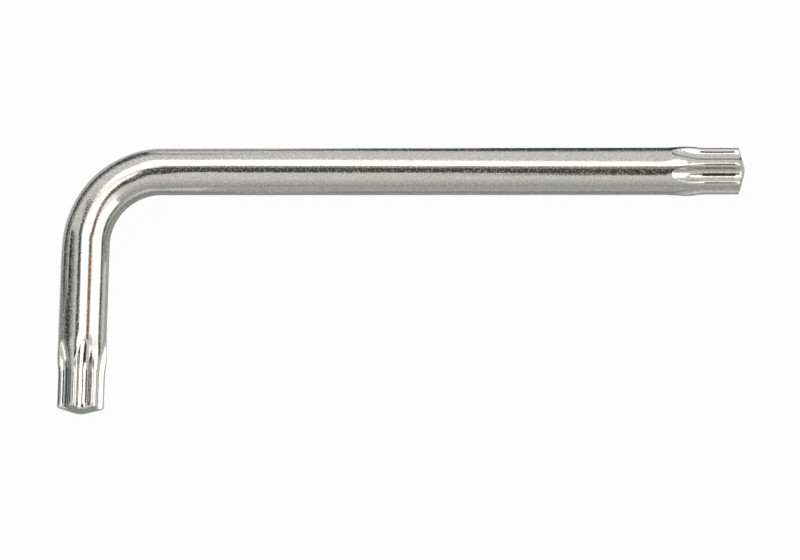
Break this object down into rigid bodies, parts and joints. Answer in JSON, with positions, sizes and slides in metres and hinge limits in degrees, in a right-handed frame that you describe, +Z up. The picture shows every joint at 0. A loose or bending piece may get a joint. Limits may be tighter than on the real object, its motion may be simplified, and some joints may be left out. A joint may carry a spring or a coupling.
{
  "type": "star key",
  "caption": "L-shaped star key: a round plated steel bar bent to a right angle, with a fluted star tip on each arm that turns star-recess screws.",
  "frame": {"origin": "middle of the underside of the box around the key as it lies flat", "axes": "+X along the long arm towards its star tip, -Y along the short arm towards its star tip, +Z up from the surface that the key lies on"},
  "size_m": [0.0812, 0.0322, 0.0058],
  "materials": {
    "plated_steel": "bright nickel plating over fine drawing marks and pits"
  },
  "bodies": {
    "root": {"long_star_tip": "plated_steel", "long_shank": "plated_steel", "bend": "plated_steel", "short_shank": "plated_steel", "short_star_tip": "plated_steel"}
  },
  "joints": []
}
